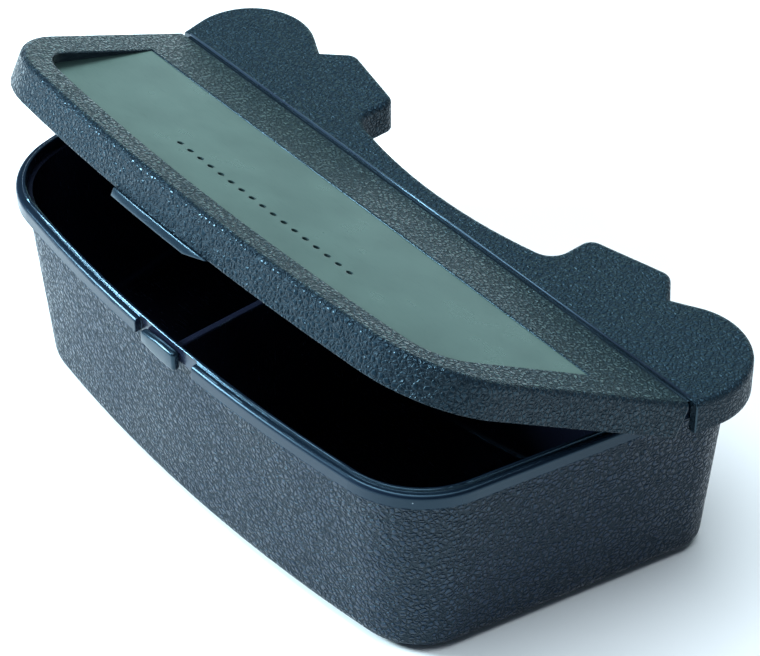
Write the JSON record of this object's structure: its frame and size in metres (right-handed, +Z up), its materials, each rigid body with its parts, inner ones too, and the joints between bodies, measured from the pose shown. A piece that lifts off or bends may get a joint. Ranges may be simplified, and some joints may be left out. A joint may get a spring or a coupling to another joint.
{
  "type": "bait station",
  "caption": "Hinged bait box: drafted tub with a hollowed back, fixed rear deck with bucket hooks, and a vented lid on a living hinge, half open.",
  "frame": {"origin": "on the ground under the tub, at the middle of the closed box's width and depth", "axes": "+X along the hinge, +Y from the lid's front towards the hollowed back, +Z up"},
  "size_m": [0.2146, 0.1163, 0.1046],
  "materials": {
    "grained_plastic": "pebbled leather grain, blue-black",
    "satin_plastic": "smooth satin, blue-black",
    "smooth_plastic": "smooth and glossy, blue-black"
  },
  "bodies": {
    "base": {"tub": "grained_plastic", "tub_catch": "smooth_plastic", "centre_divider": "smooth_plastic", "rear_deck": "grained_plastic", "living_hinge": "smooth_plastic"},
    "lid": {"lid": "grained_plastic", "vent_panel": "satin_plastic", "lid_latch": "smooth_plastic"}
  },
  "joints": [
    {"name": "lid_hinge", "type": "hinge", "parent": "base", "child": "lid", "pos_m": [0, 0.0286, 0.0629], "axis": [-1, 0, 0], "range_deg": [-28.3, 71.7]}
  ]
}
